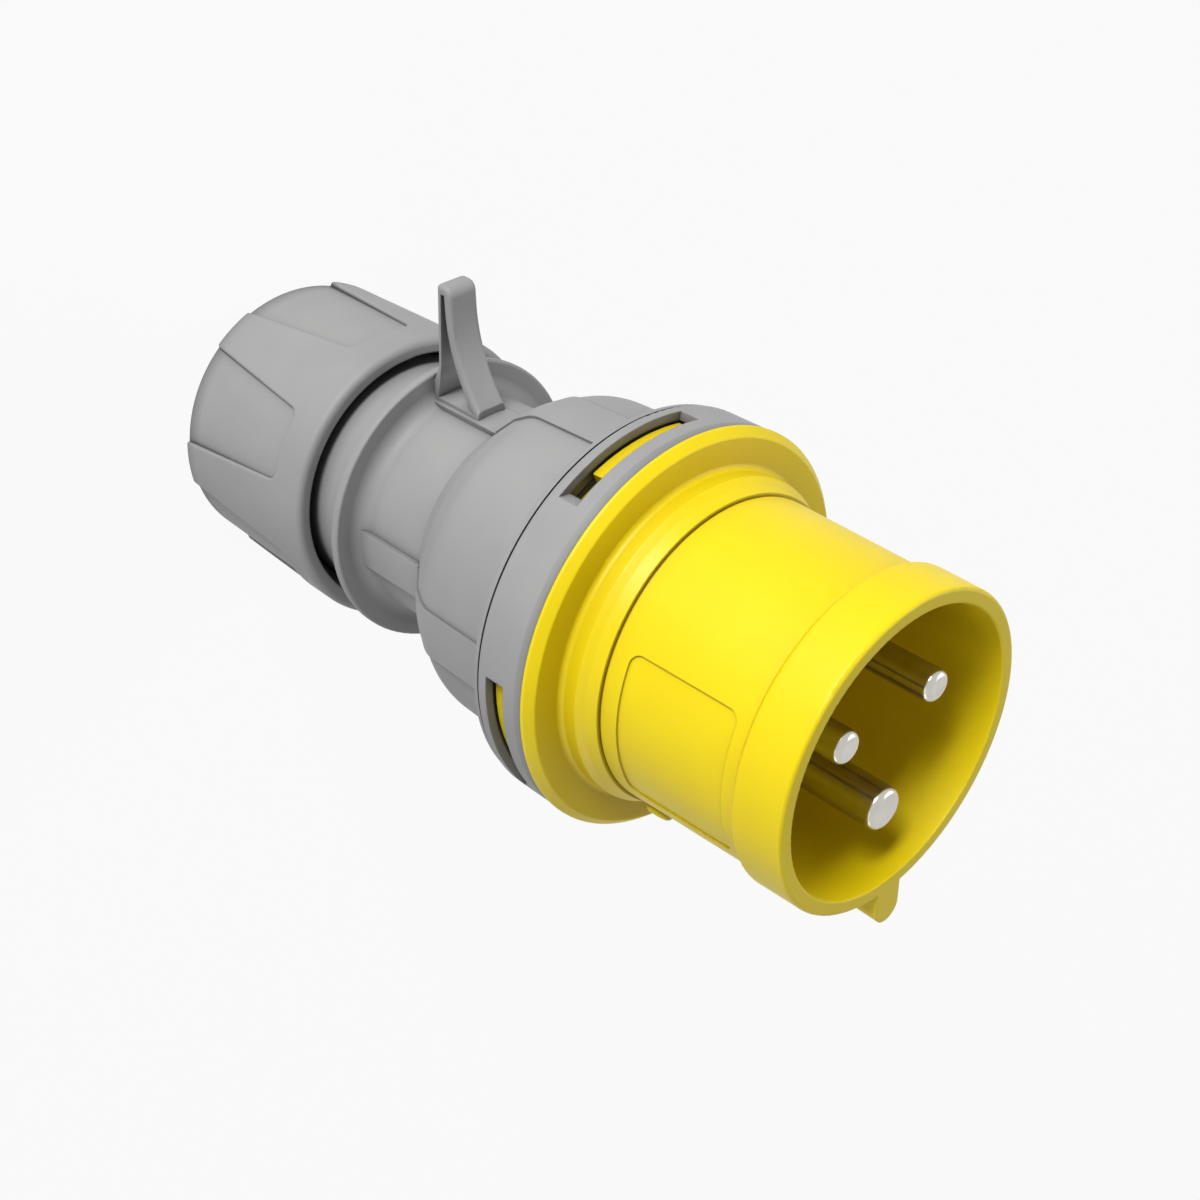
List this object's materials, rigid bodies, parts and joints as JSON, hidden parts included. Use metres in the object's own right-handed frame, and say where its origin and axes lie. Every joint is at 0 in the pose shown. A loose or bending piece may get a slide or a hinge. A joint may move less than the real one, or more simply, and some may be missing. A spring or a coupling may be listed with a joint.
{
  "type": "industrial plug",
  "caption": "Pin and sleeve plug: yellow shroud with three pins, grey housing with an upright fin, and a gland nut with six grip recesses at the cable end.",
  "frame": {"origin": "on the plug's axis, at the back of the gland nut, where the cable goes in", "axes": "+Z along the axis towards the mouth, +Y towards the fin, opposite the key"},
  "size_m": [0.0764, 0.0863, 0.163],
  "materials": {
    "yellow_shell": "satin moulded polyamide",
    "grey_shell": "fine matt moulded polyamide",
    "dark_insulator": "matt moulded insulator",
    "claw_plastic": "matt moulded polyamide",
    "plated_brass": "nickel plated, finely turned",
    "zinc_steel": "zinc plated",
    "seal_rubber": "matt moulded rubber"
  },
  "bodies": {
    "plug": {"rear_housing": "grey_shell", "locking_ring": "grey_shell", "shroud": "yellow_shell", "flange_gasket": "seal_rubber", "contact_carrier": "dark_insulator", "pin_retainer": "dark_insulator", "retainer_screw_1": "zinc_steel", "retainer_screw_2": "zinc_steel", "retainer_screw_3": "zinc_steel", "earth_pin": "plated_brass", "line_pin": "plated_brass", "neutral_pin": "plated_brass", "earth_terminal_screw": "zinc_steel", "line_terminal_screw": "zinc_steel", "neutral_terminal_screw": "zinc_steel", "earth_pressure_plate": "zinc_steel", "line_pressure_plate": "zinc_steel", "neutral_pressure_plate": "zinc_steel", "gland_seal": "seal_rubber", "clamp_cage": "claw_plastic"},
    "slip_ring": {"thrust_ring": "claw_plastic"},
    "nut": {"gland_nut": "grey_shell"}
  },
  "joints": [
    {"name": "nut_travel", "type": "slide", "parent": "plug", "child": "slip_ring", "axis": [0, 0, -1], "range_m": [0, 0.006]},
    {"name": "nut_turn", "type": "hinge", "parent": "slip_ring", "child": "nut", "pos_m": [0, 0, 0], "axis": [0, 0, -1], "range_deg": [0, 720]}
  ],
  "couplings": [
    {"joint": "nut_turn", "follows": "nut_travel", "rad_per_m": 2094.4}
  ]
}
